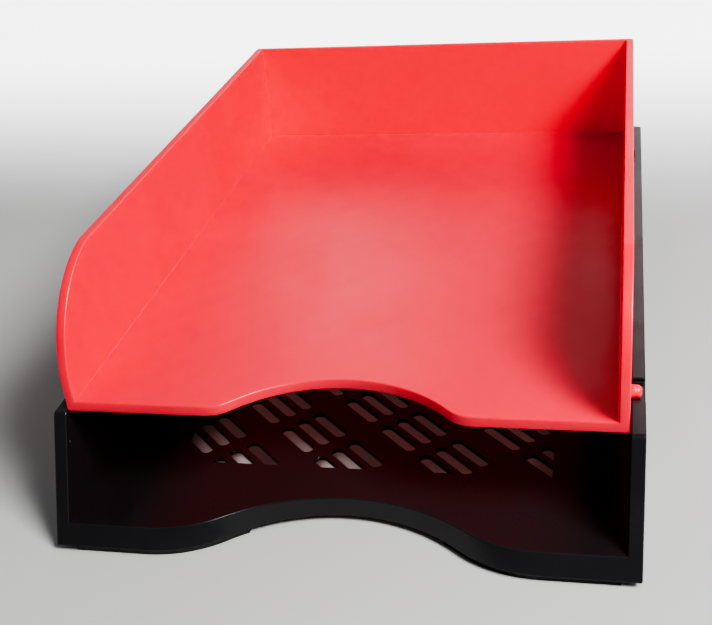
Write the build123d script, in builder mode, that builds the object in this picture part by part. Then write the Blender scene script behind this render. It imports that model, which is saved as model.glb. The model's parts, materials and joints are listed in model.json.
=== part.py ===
from build123d import *
import os
from math import asin, ceil, cos, radians, sin, sqrt

# A pair of stacking letter trays: a wide lower tray, and a narrower upper tray that stands on its rim.
# Each tray is one moulding. The upper tray rests on four pegs, which drop into notches in the lower
# tray's rim, and it lifts straight off.
#
# Frame: the origin is on the desk, at the middle of the lower tray's footprint. +X is to the right,
# +Y goes to the back and +Z is up. All sizes are in millimetres.

# ---------------------------------------------------------------- lower tray, driving sizes
LOWER_WIDTH = 256.0          # over the rim
LOWER_DEPTH = 376.0          # from the foot of the front edge to the back of the rim
LOWER_HEIGHT = 58.0          # desk to rim
LOWER_LEAN = 25.0            # how far the front edge leans back on its way up
LOWER_FRONT_ROUND = 2.5      # side radius where the leaning front edge meets the rim
LOWER_BACK_DRAFT = 3.0       # how far the back wall leans out on its way up
LOWER_WALL = 2.0
LOWER_FLOOR_TOP = 12.5       # above the desk
LOWER_FLOOR = 2.2            # floor thickness
LOWER_RIM = 6.0              # width of the flange round the walls, wall included
LOWER_RIM_PLATE = 2.2        # thickness of that flange
LOWER_LIP_DROP = 6.0         # how deep the flange's outer edge turns back
LOWER_LIP = 1.8              # thickness of the turned edge

FOOT_HEIGHT = 3.0            # gap under the walls
FOOT_WALL = 2.0
FOOT_INSET = 2.5             # in from the inner faces of the side and back walls
FOOT_FRONT_INSET = 1.5       # in from the lower front edge and the cut-out
FOOT_GAP = 88.0              # width of the gap in it behind the middle of the cut-out

LOWER_GRIP_DEPTH = 28.0      # finger cut-out in the front, at floor level
LOWER_GRIP_HALF = 86.0       # half of its width
LOWER_GRIP_END = 54.0        # radius of the arcs that lead into it
LOWER_GRIP_SPREAD = 3.5      # extra depth of the cut-out at its lower edge
CORNER = 2.5                 # plan radius of the rims' back corners

# openings in the lower floor: groups of three parallel slots, on a slanting lattice
GRILLE_SIDE = 33.4           # plain floor left beside the side walls
GRILLE_FRONT = 49.6          # plain floor left behind the straight front edge
GRILLE_BACK = 38.0           # plain floor left in front of the back wall
SLOT_LENGTH = 25.0
SLOT_WIDTH = 6.0
SLOT_PITCH = 9.25
SLOT_TURN = -45.0            # degrees from +X to the way the slots run
SLOTS_IN_GROUP = 3
GROUP_PITCH_ALONG = 31.5     # from group to group, the way the slots run
GROUP_PITCH_ACROSS = 37.7
GROUP_X = -28.0              # centre of one group, from the middle of the tray
GROUP_FROM_FRONT = 27.5      # the same centre, from the grille's front edge
SLOT_REACH = 6.0             # a slot centred further outside the grille than this is left out

# ---------------------------------------------------------------- upper tray, driving sizes
SIDE_CLEARANCE = 0.5         # each side, between the upper tray and the lower tray's walls
UPPER_SETBACK = 1.0          # the upper front edge stands this far behind the lower rim's
UPPER_BACK_GAP = 11.2        # from the upper back rim to the lower tray's back wall
UPPER_WALL_HEIGHT = 58.3     # floor to rim
UPPER_SKIRT = 5.0            # floor top to underside
UPPER_FLOOR = 2.0
UPPER_WALL = 2.0
UPPER_RIM = 4.3              # width of the flange on the side walls, wall included
UPPER_BACK_RIM = 3.0         # width of the flange on the back wall, wall included
UPPER_RIM_PLATE = 2.2
UPPER_BACK_DRAFT = 4.4       # how far the back wall leans out on its way up
UPPER_NOSE_RADIUS = 53.0     # round front corner of the side walls
UPPER_NOSE_CUT = 0.7         # the rim cuts that corner's circle this far below its top
UPPER_GRIP_DEPTH = 25.2
UPPER_GRIP_HALF = 58.3
UPPER_GRIP_END = 15.0

# ---------------------------------------------------------------- pegs and notches, driving sizes
PEG_DIAMETER = 6.0
PEG_LENGTH = 5.0             # front pegs
PEG_ROUNDING = 2.2
REAR_PEG_LENGTH = 1.5        # rear pegs are stubs, hidden under the flange
REAR_PEG_ROUNDING = 0.4
PEG_FROM_FRONT = 29.7        # front pegs, from the upper tray's front edge
PEG_FROM_BACK = 38.8         # rear pegs, from the upper tray's back rim
BOSS_LENGTH = 9.0            # block behind each peg, along Y
BOSS_WIDTH = 4.0
NOTCH_DEPTH = 2.2
NOTCH_AHEAD = 4.8            # from the peg's axis to the notch's front end
NOTCH_BEHIND = 12.2          # from the peg's axis to the notch's back end
NOTCH_PLATE = 2.0            # plate under each notch
REST_CLEARANCE = 0.2         # between a peg and its notch, and between the two trays

# ---------------------------------------------------------------- worked-out places
OVERRUN = 5.0                # cutters run this far past what they cut
front = -LOWER_DEPTH / 2
back = LOWER_DEPTH / 2
rim_front = front + LOWER_LEAN
wall_rise = LOWER_HEIGHT - FOOT_HEIGHT
lean_per_mm = LOWER_LEAN / wall_rise
lower_outer = LOWER_WIDTH / 2
lower_inner = lower_outer - LOWER_RIM
lower_wall_out = lower_inner + LOWER_WALL
lower_back_in = back - LOWER_RIM
floor_under = LOWER_FLOOR_TOP - LOWER_FLOOR
floor_front = front + lean_per_mm * (LOWER_FLOOR_TOP - FOOT_HEIGHT)
leaning_plate = LOWER_RIM_PLATE * sqrt(1 + lean_per_mm ** 2)   # along Y, through the leaning front
leaning_lip = LOWER_LIP_DROP * sqrt(1 + lean_per_mm ** 2)

upper_under = LOWER_HEIGHT + REST_CLEARANCE
upper_floor_top = upper_under + UPPER_SKIRT
upper_top = upper_floor_top + UPPER_WALL_HEIGHT
upper_front = rim_front + UPPER_SETBACK
upper_back = lower_back_in - UPPER_BACK_GAP
upper_outer = lower_inner - SIDE_CLEARANCE
upper_inner = upper_outer - UPPER_RIM
upper_wall_out = upper_inner + UPPER_WALL
upper_back_top_in = upper_back - UPPER_BACK_RIM
upper_back_floor_in = upper_back_top_in - UPPER_BACK_DRAFT
nose_z = upper_top + UPPER_NOSE_CUT - UPPER_NOSE_RADIUS

notch_top = LOWER_HEIGHT - NOTCH_DEPTH
peg_z = notch_top + REST_CLEARANCE + PEG_DIAMETER / 2
front_peg_y = upper_front + PEG_FROM_FRONT
rear_peg_y = upper_back - PEG_FROM_BACK
front_notch_out = lower_outer + OVERRUN                          # open at the rim's outer edge
rear_notch_out = upper_outer + REAR_PEG_LENGTH + SIDE_CLEARANCE  # a pocket in the rim


def lean_line(z):
    """Y of the lower tray's leaning front face at height z."""
    return front + lean_per_mm * (z - FOOT_HEIGHT)


def lower_back_line(z):
    """Y of the lower back wall's inner face at height z."""
    return lower_back_in - LOWER_BACK_DRAFT * (LOWER_HEIGHT - z) / wall_rise


def upper_back_line(z):
    """Y of the upper back wall's inner face at height z."""
    return upper_back_top_in - UPPER_BACK_DRAFT * (upper_top - z) / UPPER_WALL_HEIGHT


def grip_outline(edge_y, depth, half_width, end_radius):
    """Outline of a finger cut-out, for a BuildLine: a round middle between two tangent end arcs.

    The end arcs leave the straight front edge without a corner.
    """
    both = (half_width ** 2 + depth ** 2) / (2 * depth)
    swing = asin(half_width / both)
    join_x = half_width * (both - end_radius) / both
    join_y = edge_y + end_radius * (1 - cos(swing))
    TangentArc((-half_width, edge_y), (-join_x, join_y), tangent=(1, 0))
    ThreePointArc((-join_x, join_y), (0, edge_y + depth), (join_x, join_y))
    TangentArc((half_width, edge_y), (join_x, join_y), tangent=(-1, 0))
    Polyline(
        (half_width, edge_y),
        (half_width, edge_y - depth),
        (-half_width, edge_y - depth),
        (-half_width, edge_y),
    )


def grip_block(inset, mode):
    """The lower finger cut-out, set back behind its true outline, as a block that leans like the front.

    Its outline at floor level is shallower than the one at the skirt's foot, and both run on straight.
    """
    end_radius = LOWER_GRIP_END - inset
    with BuildSketch(Plane.XY.offset(FOOT_HEIGHT)) as grip_low:
        with BuildLine():
            grip_outline(front + inset, LOWER_GRIP_DEPTH + LOWER_GRIP_SPREAD, LOWER_GRIP_HALF, end_radius)
        make_face()
    with BuildSketch(Plane.XY.offset(LOWER_FLOOR_TOP)) as grip_high:
        with BuildLine():
            grip_outline(floor_front + inset, LOWER_GRIP_DEPTH, LOWER_GRIP_HALF, end_radius)
        make_face()
    loft([grip_low.sketch.face(), grip_high.sketch.face()], ruled=True, mode=mode)
    extrude(grip_low.sketch, amount=-FOOT_HEIGHT - OVERRUN, mode=mode)
    extrude(grip_high.sketch, amount=OVERRUN, mode=mode)


def nose_kink(inset):
    """Y where the upper tray's round front corner meets its rim, drawn inset from the true outline."""
    radius = UPPER_NOSE_RADIUS - inset
    return upper_front + UPPER_NOSE_RADIUS - sqrt(radius ** 2 - (upper_top - inset - nose_z) ** 2)


def nose_outline(inset):
    """Front edge of the upper tray's walls, for a BuildLine, drawn inset from the true outline."""
    radius = UPPER_NOSE_RADIUS - inset
    face_y = upper_front + inset
    rim_z = upper_top - inset
    half_swing = asin((rim_z - nose_z) / radius) / 2
    centre_y = upper_front + UPPER_NOSE_RADIUS
    middle = (centre_y - radius * cos(half_swing), nose_z + radius * sin(half_swing))
    Line((face_y, upper_under), (face_y, nose_z))
    ThreePointArc((face_y, nose_z), middle, (nose_kink(inset), rim_z))


# ---------------------------------------------------------------- lower tray
# Space under the lower floor: the skirt is left standing round it and round the finger cut-out.
with BuildPart() as lower_hollow:
    with BuildSketch(Plane.YZ):
        with BuildLine():
            Polyline(
                (lean_line(FOOT_HEIGHT - OVERRUN) + leaning_plate, FOOT_HEIGHT - OVERRUN),
                (lean_line(floor_under) + leaning_plate, floor_under),
                (lower_back_line(floor_under), floor_under),
                (lower_back_line(FOOT_HEIGHT - OVERRUN), FOOT_HEIGHT - OVERRUN),
                close=True,
            )
        make_face()
    extrude(amount=lower_inner, both=True)
    grip_block(leaning_plate, Mode.SUBTRACT)

# What the finger cut-out takes away, from the floor and from the skirt.
with BuildPart() as lower_grip:
    grip_block(0, Mode.ADD)

# What is taken off where the leaning front meets the rim, to leave a round corner.
with BuildPart() as front_corner:
    lean_length = sqrt(LOWER_LEAN ** 2 + wall_rise ** 2)
    tangent_length = LOWER_FRONT_ROUND * (lean_length - LOWER_LEAN) / wall_rise
    lean_end_z = LOWER_HEIGHT - tangent_length * wall_rise / lean_length
    lean_end = (lean_line(lean_end_z), lean_end_z)
    rim_end = (rim_front + tangent_length, LOWER_HEIGHT)
    with BuildSketch(Plane.YZ):
        with BuildLine():
            TangentArc(lean_end, rim_end, tangent=(LOWER_LEAN, wall_rise))
            Polyline(
                rim_end,
                (rim_end[0], LOWER_HEIGHT + OVERRUN),
                (lean_end[0] - OVERRUN, LOWER_HEIGHT + OVERRUN),
                (lean_end[0] - OVERRUN, lean_end_z),
                lean_end,
            )
        make_face()
    extrude(amount=lower_outer + OVERRUN, both=True)

# Foot: a thin wall under the floor, set in from the skirt, that the tray stands on. It is open behind
# the middle of the finger cut-out.
with BuildPart() as foot_ring:
    with BuildSketch():
        foot_half = lower_inner - FOOT_INSET
        foot_front = front + FOOT_FRONT_INSET
        foot_back = lower_back_line(FOOT_HEIGHT) - FOOT_INSET
        with Locations((0, (foot_front + foot_back) / 2)):
            Rectangle(2 * foot_half, foot_back - foot_front)
        with BuildLine():
            grip_outline(
                foot_front,
                LOWER_GRIP_DEPTH + LOWER_GRIP_SPREAD,
                LOWER_GRIP_HALF,
                LOWER_GRIP_END - FOOT_FRONT_INSET,
            )
        make_face(mode=Mode.SUBTRACT)
        offset(amount=-FOOT_WALL, kind=Kind.INTERSECTION, mode=Mode.SUBTRACT)
        gap_depth = LOWER_GRIP_DEPTH + LOWER_GRIP_SPREAD + FOOT_WALL + OVERRUN
        with Locations((0, foot_front)):
            Rectangle(FOOT_GAP, 2 * gap_depth, mode=Mode.SUBTRACT)
    extrude(amount=floor_under)
    with BuildSketch(Plane.YZ):
        with BuildLine():
            Polyline(
                (front - OVERRUN, FOOT_HEIGHT),
                (front, FOOT_HEIGHT),
                (lean_line(floor_under + OVERRUN), floor_under + OVERRUN),
                (front - OVERRUN, floor_under + OVERRUN),
                close=True,
            )
        make_face()
    extrude(amount=lower_outer, both=True, mode=Mode.SUBTRACT)

# Openings of the lower floor, as a flat pattern.
grille_half = lower_inner - GRILLE_SIDE
grille_front = floor_front + GRILLE_FRONT
grille_back = lower_back_line(LOWER_FLOOR_TOP) - GRILLE_BACK
slot_run = (cos(radians(SLOT_TURN)), sin(radians(SLOT_TURN)))
slot_step = (-slot_run[1], slot_run[0])
groups_out = ceil((2 * grille_half + grille_back - grille_front) / GROUP_PITCH_ALONG)
slot_centres = []
for along in range(-groups_out, groups_out + 1):
    for across in range(-groups_out, groups_out + 1):
        for slot in range(SLOTS_IN_GROUP):
            run = along * GROUP_PITCH_ALONG
            step = across * GROUP_PITCH_ACROSS + (slot - (SLOTS_IN_GROUP - 1) / 2) * SLOT_PITCH
            x = GROUP_X + run * slot_run[0] + step * slot_step[0]
            y = grille_front + GROUP_FROM_FRONT + run * slot_run[1] + step * slot_step[1]
            beside = abs(x) < grille_half + SLOT_REACH
            between = grille_front - SLOT_REACH < y < grille_back + SLOT_REACH
            if beside and between:
                slot_centres.append((x, y))
with BuildSketch(Plane.XY.offset(floor_under - OVERRUN)) as grille:
    with Locations(*slot_centres):
        SlotOverall(SLOT_LENGTH, SLOT_WIDTH, rotation=SLOT_TURN)
    with Locations((0, (grille_front + grille_back) / 2)):
        Rectangle(2 * grille_half, grille_back - grille_front, mode=Mode.INTERSECT)

with BuildPart() as lower_tray:
    # walls and floor, as one block with the leaning front
    with BuildSketch(Plane.YZ):
        with BuildLine():
            Polyline(
                (front, FOOT_HEIGHT),
                (rim_front, LOWER_HEIGHT),
                (lower_back_line(LOWER_HEIGHT) + LOWER_WALL, LOWER_HEIGHT),
                (lower_back_line(FOOT_HEIGHT) + LOWER_WALL, FOOT_HEIGHT),
                close=True,
            )
        make_face()
    extrude(amount=lower_wall_out, both=True)
    # flange round the front edges and the rim
    with BuildSketch(Plane.YZ):
        with BuildLine():
            Polyline(
                (front, FOOT_HEIGHT),
                (rim_front, LOWER_HEIGHT),
                (back, LOWER_HEIGHT),
                (back, LOWER_HEIGHT - LOWER_RIM_PLATE),
                (lean_line(LOWER_HEIGHT - LOWER_RIM_PLATE) + leaning_plate, LOWER_HEIGHT - LOWER_RIM_PLATE),
                (front + leaning_plate, FOOT_HEIGHT),
                close=True,
            )
        make_face()
    extrude(amount=lower_outer, both=True)
    # the flange's outer edge, turned back along both sides
    with BuildSketch(Plane.YZ.offset(lower_outer - LOWER_LIP)):
        with BuildLine():
            Polyline(
                (front, FOOT_HEIGHT),
                (rim_front, LOWER_HEIGHT),
                (back, LOWER_HEIGHT),
                (back, LOWER_HEIGHT - LOWER_LIP_DROP),
                (lean_line(LOWER_HEIGHT - LOWER_LIP_DROP) + leaning_lip, LOWER_HEIGHT - LOWER_LIP_DROP),
                (front + leaning_lip, FOOT_HEIGHT),
                close=True,
            )
        make_face()
    side_lip_right = extrude(amount=LOWER_LIP)
    mirror(side_lip_right, about=Plane.YZ)
    # and along the back
    with BuildSketch(Plane.XY.offset(LOWER_HEIGHT)):
        with Locations((0, back - LOWER_LIP / 2)):
            Rectangle(LOWER_WIDTH, LOWER_LIP)
    extrude(amount=-LOWER_LIP_DROP)
    back_corners = lower_tray.edges().filter_by(Axis.Z).group_by(Axis.Y)[-1].group_by(Axis.X)
    fillet(back_corners[0] + back_corners[-1], CORNER)
    # space above the floor, open at the front and on top
    with BuildSketch(Plane.YZ):
        with BuildLine():
            Polyline(
                (front - OVERRUN, LOWER_FLOOR_TOP),
                (front - OVERRUN, LOWER_HEIGHT + OVERRUN),
                (lower_back_line(LOWER_HEIGHT + OVERRUN), LOWER_HEIGHT + OVERRUN),
                (lower_back_line(LOWER_FLOOR_TOP), LOWER_FLOOR_TOP),
                close=True,
            )
        make_face()
    extrude(amount=lower_inner, both=True, mode=Mode.SUBTRACT)
    add(lower_hollow.part, mode=Mode.SUBTRACT)
    add(foot_ring.part)
    add(lower_grip.part, mode=Mode.SUBTRACT)
    add(front_corner.part, mode=Mode.SUBTRACT)
    extrude(grille.sketch, amount=LOWER_FLOOR + 2 * OVERRUN, mode=Mode.SUBTRACT)
    # rim notches for the pegs, each over its own plate
    for peg_y, notch_out in ((front_peg_y, front_notch_out), (rear_peg_y, rear_notch_out)):
        notch_y = peg_y + (NOTCH_BEHIND - NOTCH_AHEAD) / 2
        notch_length = NOTCH_AHEAD + NOTCH_BEHIND
        notch_in = lower_inner - OVERRUN
        for side in (-1, 1):
            with BuildSketch(Plane.XY.offset(notch_top - NOTCH_PLATE)):
                with Locations((side * (lower_inner + LOWER_RIM / 2), notch_y)):
                    Rectangle(LOWER_RIM, notch_length + 2 * NOTCH_PLATE)
            extrude(amount=NOTCH_PLATE)
            with BuildSketch(Plane.XY.offset(notch_top)):
                with Locations((side * (notch_in + notch_out) / 2, notch_y)):
                    Rectangle(notch_out - notch_in, notch_length)
            extrude(amount=NOTCH_DEPTH + OVERRUN, mode=Mode.SUBTRACT)
lower_tray.part.label = "lower_tray"

# ---------------------------------------------------------------- upper tray
# Space under the upper floor, with the skirt left standing round it and round the cut-out.
with BuildPart() as upper_hollow:
    with BuildSketch(Plane.XY.offset(upper_under - OVERRUN)):
        hollow_front = upper_front + UPPER_WALL
        hollow_back = upper_back_floor_in
        with Locations((0, (hollow_front + hollow_back) / 2)):
            Rectangle(2 * (upper_outer - UPPER_WALL), hollow_back - hollow_front)
        with BuildLine():
            grip_outline(hollow_front, UPPER_GRIP_DEPTH, UPPER_GRIP_HALF, UPPER_GRIP_END - UPPER_WALL)
        make_face(mode=Mode.SUBTRACT)
    extrude(amount=OVERRUN + UPPER_SKIRT - UPPER_FLOOR)

with BuildPart() as upper_tray:
    # walls and floor, as one block with the round front corners
    with BuildSketch(Plane.YZ):
        with BuildLine():
            nose_outline(0)
            Polyline(
                (nose_kink(0), upper_top),
                (upper_back_line(upper_top) + UPPER_WALL, upper_top),
                (upper_back_line(upper_under) + UPPER_WALL, upper_under),
                (upper_front, upper_under),
            )
        make_face()
    extrude(amount=upper_wall_out, both=True)
    # flange round the front edges and the rim
    with BuildSketch(Plane.YZ):
        with BuildLine():
            nose_outline(0)
            nose_outline(UPPER_RIM_PLATE)
            Polyline(
                (nose_kink(0), upper_top),
                (upper_back, upper_top),
                (upper_back, upper_top - UPPER_RIM_PLATE),
                (nose_kink(UPPER_RIM_PLATE), upper_top - UPPER_RIM_PLATE),
            )
            Line((upper_front + UPPER_RIM_PLATE, upper_under), (upper_front, upper_under))
        make_face()
    extrude(amount=upper_outer, both=True)
    # base, as wide as the flange
    with BuildSketch(Plane.XY.offset(upper_under)):
        with Locations((0, (upper_front + upper_back_floor_in + UPPER_WALL) / 2)):
            Rectangle(2 * upper_outer, upper_back_floor_in + UPPER_WALL - upper_front)
    extrude(amount=UPPER_SKIRT)
    back_corners = upper_tray.edges().filter_by(Axis.Z).group_by(Axis.Y)[-1]
    fillet(back_corners, CORNER)
    # space above the floor, open at the front and on top
    with BuildSketch(Plane.YZ):
        with BuildLine():
            Polyline(
                (upper_front - OVERRUN, upper_floor_top),
                (upper_front - OVERRUN, upper_top + OVERRUN),
                (upper_back_line(upper_top + OVERRUN), upper_top + OVERRUN),
                (upper_back_line(upper_floor_top), upper_floor_top),
                close=True,
            )
        make_face()
    extrude(amount=upper_inner, both=True, mode=Mode.SUBTRACT)
    add(upper_hollow.part, mode=Mode.SUBTRACT)
    with BuildSketch(Plane.XY.offset(upper_under - OVERRUN)):
        with BuildLine():
            grip_outline(upper_front, UPPER_GRIP_DEPTH, UPPER_GRIP_HALF, UPPER_GRIP_END)
        make_face()
    extrude(amount=UPPER_SKIRT + 2 * OVERRUN, mode=Mode.SUBTRACT)
    # pegs, each in front of a block that backs it
    front_peg = (front_peg_y, PEG_LENGTH, PEG_ROUNDING)
    rear_peg = (rear_peg_y, REAR_PEG_LENGTH, REAR_PEG_ROUNDING)
    for peg_y, peg_length, peg_rounding in (front_peg, rear_peg):
        for side in (-1, 1):
            peg_base = Plane((side * (upper_outer - BOSS_WIDTH / 2), peg_y, peg_z), z_dir=(side, 0, 0))
            with BuildSketch(peg_base):
                Circle(PEG_DIAMETER / 2)
            peg_faces = extrude(amount=peg_length + BOSS_WIDTH / 2).faces()
            peg_end = peg_faces.sort_by(Axis.X)[-1 if side > 0 else 0].edges()
            fillet(peg_end, peg_rounding)
            boss_low = peg_z - PEG_DIAMETER / 2
            with BuildSketch(Plane.XY.offset(boss_low)):
                with Locations((side * (upper_outer - BOSS_WIDTH / 2), peg_y)):
                    Rectangle(BOSS_WIDTH, BOSS_LENGTH)
            extrude(amount=upper_floor_top - UPPER_FLOOR - boss_low)
upper_tray.part.label = "upper_tray"

os.makedirs("parts", exist_ok=True)
export_step(lower_tray.part, "parts/lower_tray.step")
export_step(upper_tray.part, "parts/upper_tray.step")
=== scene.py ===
import json
import logging
import math
from collections.abc import Mapping
from dataclasses import dataclass
from enum import Enum

import bmesh
import bpy
from mathutils import Matrix, Vector


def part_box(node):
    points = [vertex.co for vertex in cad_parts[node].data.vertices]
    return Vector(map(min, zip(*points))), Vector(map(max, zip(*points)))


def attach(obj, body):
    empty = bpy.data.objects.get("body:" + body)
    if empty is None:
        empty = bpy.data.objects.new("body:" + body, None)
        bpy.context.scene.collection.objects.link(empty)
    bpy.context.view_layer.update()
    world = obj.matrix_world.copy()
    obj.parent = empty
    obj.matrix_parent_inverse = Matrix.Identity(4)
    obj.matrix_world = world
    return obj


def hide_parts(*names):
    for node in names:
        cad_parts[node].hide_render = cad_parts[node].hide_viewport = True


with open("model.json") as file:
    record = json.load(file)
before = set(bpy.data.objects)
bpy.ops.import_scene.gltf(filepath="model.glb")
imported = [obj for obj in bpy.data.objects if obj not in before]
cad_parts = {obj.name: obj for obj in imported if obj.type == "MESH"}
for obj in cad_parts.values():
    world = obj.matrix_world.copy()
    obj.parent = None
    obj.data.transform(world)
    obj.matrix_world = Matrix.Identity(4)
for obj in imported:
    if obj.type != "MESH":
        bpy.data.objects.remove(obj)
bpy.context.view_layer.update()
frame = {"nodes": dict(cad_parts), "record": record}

# Two stacking letter trays: a gloss black lower tray and a satin red upper tray on its rim.
# Each is one moulding. Metres throughout, with the origin on the desk under the middle of the stack,
# +X to the right, +Y to the back and +Z up.

LOG = logging.getLogger("letter_trays")
MM = 0.001

Rgb = tuple[float, float, float]
Point = tuple[float, float, float]
Span = tuple[float, float]


class Axis(Enum):
    """One of the three directions of the shared frame."""

    X = "X"
    Y = "Y"
    Z = "Z"


# ---------------------------------------------------------------- shader graphs
class Field:
    """A value that varies over a surface: a node's output socket, with arithmetic."""

    def __init__(self, graph: "Graph", socket: bpy.types.NodeSocket) -> None:
        """Hold one output socket.

        Args:
            graph: the node graph that the socket belongs to.
            socket: the output socket.
        """
        self.graph = graph
        self.socket = socket

    def __add__(self, other: "Field | float") -> "Field":
        """self + other, as a Math node."""
        return self.graph.maths("ADD", self, other)

    def __radd__(self, other: float) -> "Field":
        """other + self, as a Math node."""
        return self.graph.maths("ADD", other, self)

    def __sub__(self, other: "Field | float") -> "Field":
        """self - other, as a Math node."""
        return self.graph.maths("SUBTRACT", self, other)

    def __rsub__(self, other: float) -> "Field":
        """other - self, as a Math node."""
        return self.graph.maths("SUBTRACT", other, self)

    def __mul__(self, other: "Field | float") -> "Field":
        """self * other, as a Math node."""
        return self.graph.maths("MULTIPLY", self, other)

    def __rmul__(self, other: float) -> "Field":
        """other * self, as a Math node."""
        return self.graph.maths("MULTIPLY", other, self)


class Graph:
    """A node graph, built from expressions."""

    noise_roughness = 0.55

    def __init__(self, tree: bpy.types.NodeTree) -> None:
        """Start with an emptied node tree.

        Args:
            tree: the material's or the sky's node tree.
        """
        self.tree = tree
        self.tree.nodes.clear()

    def node(
        self,
        kind: str,
        settings: Mapping[str, object] | None = None,
        inputs: Mapping[int | str, object] | None = None,
        output: int | str = 0,
    ) -> Field:
        """Add a node and return one of its outputs.

        Args:
            kind: the node's type, such as "ShaderNodeTexNoise".
            settings: properties of the node, set before its sockets.
            inputs: values or Fields for its input sockets, by index or name.
            output: the output socket wanted, by index or name.

        Returns:
            The output as a Field.
        """
        made = self.tree.nodes.new(kind)
        for key, value in (settings or {}).items():
            setattr(made, key, value)
        for key, value in (inputs or {}).items():
            if isinstance(value, Field):
                self.tree.links.new(value.socket, made.inputs[key])
            else:
                made.inputs[key].default_value = value
        return Field(self, made.outputs[output])

    def maths(self, operation: str, *values: "Field | float") -> Field:
        """A Math node on one to three values."""
        return self.node("ShaderNodeMath", {"operation": operation}, dict(enumerate(values)))

    def smooth(self, value: Field, start: float, end: float) -> Field:
        """0 before start, 1 after end, and an even ease between them.

        Args:
            value: what is measured.
            start: where the ease starts.
            end: where it ends.

        Returns:
            The eased value.
        """
        inputs = {0: value, 1: start, 2: end, 3: 0.0, 4: 1.0}
        return self.node("ShaderNodeMapRange", {"interpolation_type": "SMOOTHSTEP"}, inputs)

    def place(self) -> Field:
        """The point on the piece, in Object coordinates."""
        return self.node("ShaderNodeTexCoord", output="Object")

    def coordinate(self, place: Field, axis: Axis) -> Field:
        """One coordinate of a point."""
        return self.node("ShaderNodeSeparateXYZ", inputs={0: place}, output=axis.value)

    def noise(self, place: Field, scale: float, detail: float = 2.0) -> Field:
        """Smooth noise from 0 to 1.

        Args:
            place: the point on the piece.
            scale: cells to the metre.
            detail: how many finer layers are added.

        Returns:
            The noise.
        """
        settings = {"noise_dimensions": "3D"}
        inputs = {"Vector": place, "Scale": scale, "Detail": detail, "Roughness": self.noise_roughness}
        return self.node("ShaderNodeTexNoise", settings, inputs, "Fac")

    def mix(self, amount: Field, first: "Rgb | Field", second: "Rgb | Field") -> Field:
        """A colour between two colours.

        Args:
            amount: 0 gives the first colour and 1 the second.
            first: the first colour.
            second: the second colour.

        Returns:
            The mixed colour.
        """
        ends = [value if isinstance(value, Field) else (*value, 1.0) for value in (first, second)]
        inputs = {"Factor": amount, 6: ends[0], 7: ends[1]}
        return self.node("ShaderNodeMix", {"data_type": "RGBA"}, inputs, 2)

    def end(self, shader: Field, kind: str) -> None:
        """Join a shader to the graph's output node, whose type is given."""
        self.tree.links.new(shader.socket, self.tree.nodes.new(kind).inputs["Surface"])


class MaterialGraph(Graph):
    """The node graph of one new material."""

    def __init__(self, name: str) -> None:
        """Start an empty material.

        Args:
            name: the material's name.
        """
        self.material = bpy.data.materials.new(name)
        self.material.use_nodes = True
        super().__init__(self.material.node_tree)

    def finish(self, shader: Field) -> bpy.types.Material:
        """Join a shader to the material's output and return the material."""
        self.end(shader, "ShaderNodeOutputMaterial")
        return self.material


# ---------------------------------------------------------------- finishes
@dataclass(frozen=True)
class SinkLattice:
    """Shallow slanting waves that the ribs under a floor leave in it as the moulding cools."""

    floor_level: float
    pitch_along: float = 15.6 * MM
    pitch_across: float = 18.7 * MM
    turn: float = math.radians(-45)
    depth: float = 0.02 * MM
    reach: float = 0.6 * MM

    def height(self, graph: Graph, place: Field) -> Field:
        """How far the surface stands out, in metres.

        Args:
            graph: the graph to add nodes to.
            place: the point on the piece.

        Returns:
            The height, which is 0 away from the floor.
        """
        x, y, z = (graph.coordinate(place, axis) for axis in Axis)
        run = x * math.cos(self.turn) + y * math.sin(self.turn)
        step = y * math.cos(self.turn) - x * math.sin(self.turn)
        waves = graph.maths("COSINE", run * (math.tau / self.pitch_along))
        waves = waves + graph.maths("COSINE", step * (math.tau / self.pitch_across))
        off_floor = graph.maths("ABSOLUTE", z - self.floor_level)
        on_floor = 1 - graph.smooth(off_floor, 0.0, self.reach)
        return waves * on_floor * self.depth


@dataclass(frozen=True)
class Dust:
    """Sparse pale specks that lie on a surface."""

    colour: Rgb
    size: float
    share: float
    cells: float = 90.0
    core: float = 0.6

    def mask(self, graph: Graph, place: Field) -> Field:
        """1 on a speck and 0 elsewhere.

        Args:
            graph: the graph to add nodes to.
            place: the point on the piece.

        Returns:
            The mask, soft at the rim of a speck.
        """
        settings = {"voronoi_dimensions": "3D", "feature": "F1"}
        inputs = {"Vector": place, "Scale": self.cells, "Randomness": 1.0}
        near = graph.node("ShaderNodeTexVoronoi", settings, inputs, "Distance")
        lottery = graph.node("ShaderNodeTexVoronoi", settings, inputs, "Color")
        chosen = graph.maths("LESS_THAN", graph.coordinate(lottery, Axis.X), self.share)
        return (1 - graph.smooth(near, self.core * self.size, self.size)) * chosen


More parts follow.
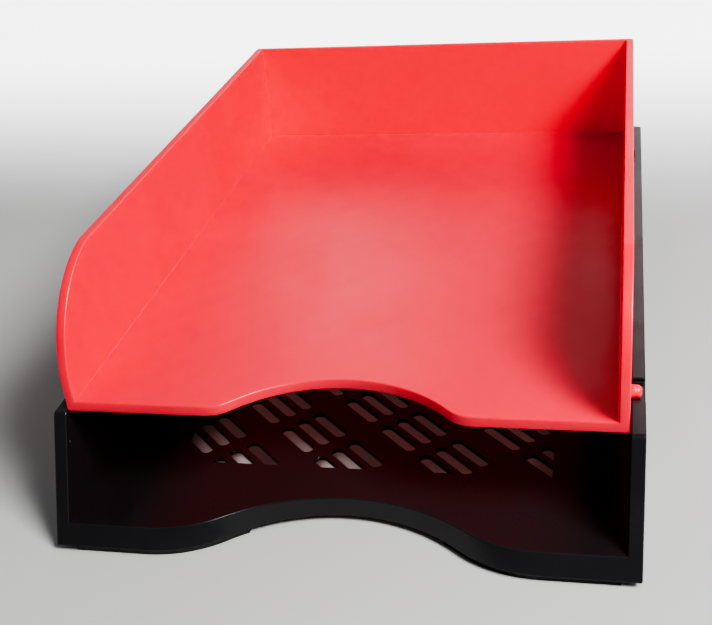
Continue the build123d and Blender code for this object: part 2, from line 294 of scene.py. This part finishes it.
@dataclass(frozen=True)
class Plastic:
    """Injection-moulded plastic with a fine grain, soft colour drift and a light handling haze.

    Cells are noise cells to the metre, and grain and ripple are heights in metres.
    """

    name: str
    colour: Rgb
    drift_colour: Rgb
    roughness: float
    haze: float
    grain: float
    grain_cells: float
    ripple: float
    dust: Dust
    drift_cells: float = 14.0
    drift_span: Span = (0.35, 0.65)
    haze_cells: float = 38.0
    haze_detail: float = 4.0
    haze_span: Span = (0.42, 0.72)
    grain_detail: float = 3.0
    ripple_cells: float = 22.0
    ripple_detail: float = 1.0
    dust_roughness: float = 0.5
    gloss_index: float = 1.5
    see_through: float = 0.0
    see_through_depth: float = 8 * MM
    see_through_tint: Rgb = (1.0, 0.15, 0.12)
    sinks: SinkLattice | None = None

    def material(self) -> bpy.types.Material:
        """Build the finish.

        Returns:
            The material, which varies in colour, roughness and surface height.
        """
        graph = MaterialGraph(self.name)
        place = graph.place()
        drift = graph.smooth(graph.noise(place, self.drift_cells), *self.drift_span)
        speck = self.dust.mask(graph, place)
        colour = graph.mix(drift, self.colour, self.drift_colour)
        colour = graph.mix(speck, colour, self.dust.colour)
        smear = graph.smooth(graph.noise(place, self.haze_cells, self.haze_detail), *self.haze_span)
        roughness = self.roughness + self.haze * smear + self.dust_roughness * speck
        height = self.grain * graph.noise(place, self.grain_cells, self.grain_detail)
        height = height + self.ripple * graph.noise(place, self.ripple_cells, self.ripple_detail)
        if self.sinks is not None:
            height = height + self.sinks.height(graph, place)
        bump = {"Strength": 1.0, "Distance": 1.0, "Height": height}
        normal = graph.node("ShaderNodeBump", inputs=bump)
        surface = {
            "Base Color": colour,
            "Roughness": roughness,
            "Normal": normal,
            "IOR": self.gloss_index,
            "Subsurface Weight": self.see_through,
            "Subsurface Radius": self.see_through_tint,
            "Subsurface Scale": self.see_through_depth,
        }
        return graph.finish(graph.node("ShaderNodeBsdfPrincipled", inputs=surface))


# ---------------------------------------------------------------- mouldings
@dataclass
class Moulding:
    """A one-piece tray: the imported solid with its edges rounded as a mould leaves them."""

    name: str
    node: str
    body: str
    slot: str
    finish: Plastic
    edge_radius: float = 0.6 * MM
    edge_steps: int = 3
    least_turn: float = math.radians(24)
    flat_turn: float = math.radians(0.3)
    weld: float = 0.001 * MM
    face_weight: int = 100

    def left_sharp(self, edge: bmesh.types.BMEdge) -> bool:
        """Whether an edge stays as it is. Each tray says which of its own do."""
        raise NotImplementedError

    def shell(self) -> bmesh.types.BMesh:
        """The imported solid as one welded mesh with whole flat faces.

        Returns:
            A mesh that the caller frees.
        """
        mesh = bmesh.new()
        mesh.from_mesh(frame["nodes"][self.node].data)
        bmesh.ops.remove_doubles(mesh, verts=mesh.verts, dist=self.weld)
        bmesh.ops.dissolve_limit(
            mesh,
            angle_limit=self.flat_turn,
            use_dissolve_boundaries=False,
            verts=mesh.verts,
            edges=mesh.edges,
            delimit=set(),
        )
        return mesh

    def round_edges(self, mesh: bmesh.types.BMesh) -> int:
        """Round the edges that a hand or the light meets.

        Args:
            mesh: the welded shell, which is changed.

        Returns:
            How many edges were rounded.
        """
        corners = [edge for edge in mesh.edges if edge.calc_face_angle(0.0) > self.least_turn]
        rounded = [edge for edge in corners if not self.left_sharp(edge)]
        bmesh.ops.bevel(
            mesh,
            geom=rounded,
            offset=self.edge_radius,
            offset_type="OFFSET",
            affect="EDGES",
            segments=self.edge_steps,
            profile=0.5,
            material=-1,
            clamp_overlap=False,
            loop_slide=True,
        )
        return len(rounded)

    def build(self) -> bpy.types.Object:
        """Make the tray, dress it and set it on its body.

        Returns:
            The finished object.
        """
        mesh = self.shell()
        rounded = self.round_edges(mesh)
        for face in mesh.faces:
            face.smooth = True
        data = bpy.data.meshes.new(self.name)
        mesh.to_mesh(data)
        mesh.free()
        piece = bpy.data.objects.new(self.name, data)
        bpy.context.scene.collection.objects.link(piece)
        shade = piece.modifiers.new("flat faces stay flat", "WEIGHTED_NORMAL")
        shade.mode = "FACE_AREA"
        shade.weight = self.face_weight
        shade.keep_sharp = False
        data.materials.append(self.finish.material())
        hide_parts(self.node)
        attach(piece, self.body)
        LOG.info("%s: %d edges rounded", self.name, rounded)
        return piece


@dataclass
class UpperTray(Moulding):
    """The red tray. The seats of its pegs and their blocks stay as moulded."""

    peg_clearance: float = 2.2 * MM
    block_depth: float = 4.6 * MM

    def __post_init__(self) -> None:
        """Find the pegs: they are all that stands out past the flange."""
        low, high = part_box(self.node)
        points = [vertex.co.copy() for vertex in frame["nodes"][self.node].data.vertices]
        self.flange = max(point.x for point in points if point.z > high.z - self.weld)
        pegs = [point for point in points if abs(point.x) > self.flange + self.weld]
        middle = (low.y + high.y) / 2
        rows = [[p.y for p in pegs if p.y < middle], [p.y for p in pegs if p.y >= middle]]
        self.peg_spans = [(min(row), max(row)) for row in rows]
        self.peg_top = max(p.z for p in pegs)

    def left_sharp(self, edge: bmesh.types.BMEdge) -> bool:
        """Whether an edge is part of a peg or of the block that backs it."""
        return any(self._by_a_peg(vertex.co) for vertex in edge.verts)

    def _by_a_peg(self, point: Vector) -> bool:
        """Whether a point lies on or just round a peg.

        Args:
            point: a point of the tray.

        Returns:
            Whether it is one of the peg's or of the block's.
        """
        beside = abs(point.x) > self.flange - self.block_depth
        low_enough = point.z < self.peg_top + self.peg_clearance / 2
        spans = [(a - self.peg_clearance, b + self.peg_clearance) for a, b in self.peg_spans]
        return beside and low_enough and any(a < point.y < b for a, b in spans)


@dataclass
class LowerTray(Moulding):
    """The black tray. Its slots, foot and hollow underside stay as moulded."""

    floor_top: float = 12.5 * MM
    floor_under: float = 10.3 * MM
    skirt_foot: float = 3.0 * MM
    foot_margin: float = 0.1 * MM
    slots_from_front: float = 40 * MM
    slots_from_side: float = 30 * MM
    outward_share: float = 0.2

    def __post_init__(self) -> None:
        """Take the tray's own box."""
        self.low, self.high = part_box(self.node)

    def left_sharp(self, edge: bmesh.types.BMEdge) -> bool:
        """Whether an edge belongs to a slot or to the underside.

        Args:
            edge: an edge of the tray.

        Returns:
            Whether it stays as moulded.
        """
        points = [vertex.co for vertex in edge.verts]
        if all(self._in_grille(point) for point in points):
            return True
        underneath = max(point.z for point in points) <= self.floor_under + self.weld
        return underneath and not self._on_skirt(edge)

    def _on_skirt(self, edge: bmesh.types.BMEdge) -> bool:
        """Whether an edge is on the outside of the tray, above the foot.

        Args:
            edge: an edge of the tray, below the floor.

        Returns:
            Whether one of its faces looks away from the tray's middle.
        """
        points = [vertex.co for vertex in edge.verts]
        middle = (points[0] + points[1]) / 2
        outward = [face.normal.x * middle.x + face.normal.y * middle.y for face in edge.link_faces]
        above_foot = min(point.z for point in points) > self.skirt_foot - self.foot_margin
        return above_foot and max(outward) > self.outward_share * middle.xy.length

    def _in_grille(self, point: Vector) -> bool:
        """Whether a point lies in the slotted part of the floor.

        Args:
            point: a point of the tray.

        Returns:
            Whether it can only be a slot's.
        """
        across = abs(point.x) < self.high.x - self.slots_from_side
        along = self.low.y + self.slots_from_front < point.y < self.high.y - self.slots_from_side
        return across and along and point.z < self.floor_top + self.weld


# ---------------------------------------------------------------- studio
@dataclass(frozen=True)
class Lamp:
    """A soft rectangular lamp that faces a point and shows only in reflections."""

    name: str
    place: Point
    target: Point
    width: float
    height: float
    watts: float
    colour: Rgb = (1.0, 1.0, 1.0)

    def build(self) -> None:
        """Add the lamp to the scene."""
        light = bpy.data.lights.new(self.name, "AREA")
        light.shape = "RECTANGLE"
        light.size = self.width
        light.size_y = self.height
        light.energy = self.watts
        light.color = self.colour
        lamp = bpy.data.objects.new(self.name, light)
        away = Vector(self.place) - Vector(self.target)
        turn = away.to_track_quat("Z", "Y").to_matrix().to_4x4()
        lamp.matrix_world = Matrix.Translation(self.place) @ turn
        lamp.visible_camera = False
        bpy.context.scene.collection.objects.link(lamp)


@dataclass(frozen=True)
class Eye:
    """The camera, given by where it stands and how it is turned."""

    place: Point = (115.24 * MM, -544.29 * MM, 328.43 * MM)
    yaw: float = -0.23028
    pitch: float = 0.51823
    roll: float = -0.09241
    lens: float = 57.69
    sensor_width: float = 36.0
    shift: tuple[float, float] = (-0.0416, 0.0218)
    nearest: float = 10 * MM

    def build(self) -> None:
        """Add the camera and make it the scene's own."""
        data = bpy.data.cameras.new("eye")
        data.sensor_width = self.sensor_width
        data.lens = self.lens
        data.shift_x, data.shift_y = self.shift
        data.clip_start = self.nearest
        ahead = Vector((
            math.sin(self.yaw) * math.cos(self.pitch),
            math.cos(self.yaw) * math.cos(self.pitch),
            -math.sin(self.pitch),
        ))
        level = Vector((math.cos(self.yaw), -math.sin(self.yaw), 0.0))
        upright = level.cross(ahead)
        side = math.cos(self.roll) * level + math.sin(self.roll) * upright
        top = math.cos(self.roll) * upright - math.sin(self.roll) * level
        turn = Matrix((side, top, -ahead)).transposed().to_4x4()
        camera = bpy.data.objects.new("eye", data)
        camera.matrix_world = Matrix.Translation(self.place) @ turn
        bpy.context.scene.collection.objects.link(camera)
        bpy.context.scene.camera = camera


@dataclass
class Studio:
    """A plain pale floor that curves up into a wall, a soft sky, lamps and the camera.

    The floor glows towards the back, as if white boards stood round it.
    """

    lamps: tuple[Lamp, ...]
    floor_colour: Rgb = (0.43, 0.43, 0.425)
    floor_darker: float = 0.96
    floor_roughness: float = 0.9
    floor_half: float = 8.0
    tone_cells: float = 3.0
    tone_detail: float = 3.0
    tooth: float = 0.05 * MM
    tooth_cells: float = 900.0
    wall_from: float = 0.75
    wall_radius: float = 0.45
    wall_height: float = 1.2
    wall_steps: int = 24
    sky: Rgb = (0.96, 0.98, 1.0)
    sky_front: float = 0.14
    sky_back: float = 0.30
    sky_span: Span = (-0.6, 0.6)
    glow_from: Span = (0.15, 0.60)
    glow_up_to: Span = (0.02, 0.15)
    glow_colour: Rgb = (1.50, 1.50, 1.53)
    view_transform: str = "AgX"
    view_look: str = "AgX - High Contrast"
    exposure: float = 0.28

    def build(self) -> None:
        """Set the view's tones and add the floor, the sky, the lamps and the camera."""
        view = bpy.context.scene.view_settings
        view.view_transform = self.view_transform
        view.look = self.view_look
        view.exposure = self.exposure
        self._floor()
        self._sky()
        for lamp in self.lamps:
            lamp.build()
        Eye().build()

    def _floor(self) -> None:
        """Sweep the floor and the curved wall out of one edge."""
        mesh = bmesh.new()
        ends = [mesh.verts.new((side * self.floor_half, -self.floor_half, 0.0)) for side in (-1, 1)]
        edge = mesh.edges.new(ends)
        edge = self._pulled(mesh, edge, Vector((0.0, self.floor_half + self.wall_from, 0.0)))
        spun = bmesh.ops.spin(
            mesh,
            geom=[edge, *edge.verts],
            cent=(0.0, self.wall_from, self.wall_radius),
            axis=(1.0, 0.0, 0.0),
            angle=math.radians(90),
            steps=self.wall_steps,
        )
        last = [item for item in spun["geom_last"] if isinstance(item, bmesh.types.BMEdge)][0]
        self._pulled(mesh, last, Vector((0.0, 0.0, self.wall_height)))
        bmesh.ops.recalc_face_normals(mesh, faces=mesh.faces)
        for face in mesh.faces:
            face.smooth = True
        data = bpy.data.meshes.new("floor")
        mesh.to_mesh(data)
        mesh.free()
        floor = bpy.data.objects.new("floor", data)
        bpy.context.scene.collection.objects.link(floor)
        data.materials.append(self._paper())

    @staticmethod
    def _pulled(mesh: bmesh.types.BMesh, edge: bmesh.types.BMEdge, way: Vector) -> bmesh.types.BMEdge:
        """Extrude an edge into a face.

        Args:
            mesh: the mesh that is changed.
            edge: the edge to extrude.
            way: how far and which way.

        Returns:
            The new edge at the far end.
        """
        made = bmesh.ops.extrude_edge_only(mesh, edges=[edge])["geom"]
        moved = [item for item in made if isinstance(item, bmesh.types.BMVert)]
        bmesh.ops.translate(mesh, vec=way, verts=moved)
        return [item for item in made if isinstance(item, bmesh.types.BMEdge)][0]

    def _paper(self) -> bpy.types.Material:
        """The floor's matt paper, with a faint tooth and a glow towards the back.

        Returns:
            The material.
        """
        graph = MaterialGraph("pale_paper")
        place = graph.place()
        tone = graph.noise(place, self.tone_cells, self.tone_detail)
        darker = tuple(self.floor_darker * part for part in self.floor_colour)
        colour = graph.mix(tone, darker, self.floor_colour)
        tooth = self.tooth * graph.noise(place, self.tooth_cells)
        normal = graph.node("ShaderNodeBump", inputs={"Distance": 1.0, "Height": tooth})
        glow = graph.smooth(graph.coordinate(place, Axis.Y), *self.glow_from)
        glow = glow * (1 - graph.smooth(graph.coordinate(place, Axis.Z), *self.glow_up_to))
        surface = {
            "Base Color": colour,
            "Roughness": self.floor_roughness,
            "Normal": normal,
            "Emission Color": graph.mix(glow, (0.0, 0.0, 0.0), self.glow_colour),
            "Emission Strength": 1.0,
        }
        return graph.finish(graph.node("ShaderNodeBsdfPrincipled", inputs=surface))

    def _sky(self) -> None:
        """Soft light from all round, stronger from the back than from the front."""
        world = bpy.data.worlds.new("soft room")
        world.use_nodes = True
        graph = Graph(world.node_tree)
        way = graph.node("ShaderNodeTexCoord", output="Generated")
        backwards = graph.smooth(graph.coordinate(way, Axis.Y), *self.sky_span)
        strength = self.sky_front + (self.sky_back - self.sky_front) * backwards
        inputs = {"Color": (*self.sky, 1.0), "Strength": strength}
        graph.end(graph.node("ShaderNodeBackground", inputs=inputs), "ShaderNodeOutputWorld")
        bpy.context.scene.world = world


# ---------------------------------------------------------------- the stack
# A tray's stated opening starts this far above its floor.
OPENING_CLEARANCE = 0.4 * MM
# The lamp under the red floor hangs this far below the floor's top.
UNDER_RED_FLOOR = 3 * MM

BLACK = Plastic(
    name="gloss_black",
    colour=(0.0108, 0.0100, 0.0112),
    drift_colour=(0.0132, 0.0121, 0.0136),
    roughness=0.20,
    haze=0.08,
    grain=0.002 * MM,
    grain_cells=1400.0,
    ripple=0.05 * MM,
    dust=Dust(colour=(0.30, 0.29, 0.28), size=0.030, share=0.10),
)


def red_plastic(floor_level: float) -> Plastic:
    """The upper tray's finish.

    Args:
        floor_level: height of the upper floor, which shows the sink marks.

    Returns:
        The satin red plastic.
    """
    return Plastic(
        name="satin_red",
        colour=(0.82, 0.021, 0.050),
        drift_colour=(0.79, 0.019, 0.046),
        roughness=0.34,
        haze=0.08,
        grain=0.004 * MM,
        grain_cells=1200.0,
        ripple=0.03 * MM,
        dust=Dust(colour=(0.85, 0.55, 0.52), size=0.025, share=0.02),
        see_through=0.6,
        sinks=SinkLattice(floor_level=floor_level),
    )


def studio_lamps(upper_floor: float) -> tuple[Lamp, ...]:
    """The lamps round the stack, and two weak ones inside it for light that comes through red plastic.

    Args:
        upper_floor: height of the upper tray's floor.

    Returns:
        The lamps.
    """
    return (
        Lamp(
            name="window",
            place=(0.800, -0.569, 1.03),
            target=(0.0, 0.0, 0.08),
            width=0.5,
            height=0.5,
            watts=27.0,
        ),
        Lamp(
            name="white board",
            place=(-0.28, 0.95, 0.55),
            target=(-0.05, 0.0, 0.1),
            width=0.19,
            height=0.8,
            watts=0.47,
        ),
        Lamp(
            name="narrow board",
            place=(0.20, 0.95, 0.50),
            target=(0.126, 0.0, 0.06),
            width=0.14,
            height=0.6,
            watts=0.25,
            colour=(1.0, 0.78, 0.82),
        ),
        Lamp(
            name="glow of the red floor",
            place=(0.0, 0.0, upper_floor - UNDER_RED_FLOOR),
            target=(0.0, 0.0, 0.0),
            width=0.20,
            height=0.26,
            watts=0.029,
            colour=(1.0, 0.10, 0.10),
        ),
        Lamp(
            name="light under the slots",
            place=(0.0, -0.03, 9 * MM),
            target=(0.0, -0.03, 0.0),
            width=0.18,
            height=0.22,
            watts=0.016,
            colour=(1.0, 0.42, 0.42),
        ),
    )


def main() -> None:
    """Build the two trays and the studio round them."""
    logging.basicConfig(level=logging.INFO, format="%(name)s %(message)s")
    openings = {item["name"]: item["box_m"] for item in frame["record"]["physics"]["openings"]}
    upper_floor = openings["upper_interior"][0][2] - OPENING_CLEARANCE
    red = red_plastic(upper_floor)
    trays = (
        LowerTray("lower_tray_moulding", "lower_tray", "lower", "black_plastic", BLACK),
        UpperTray("upper_tray_moulding", "upper_tray", "upper", "red_plastic", red),
    )
    for tray in trays:
        piece = tray.build()
        LOG.info("%s stands on body %s with %d faces", piece.name, tray.body, len(piece.data.polygons))
    Studio(studio_lamps(upper_floor)).build()


if __name__ == "__main__":
    main()
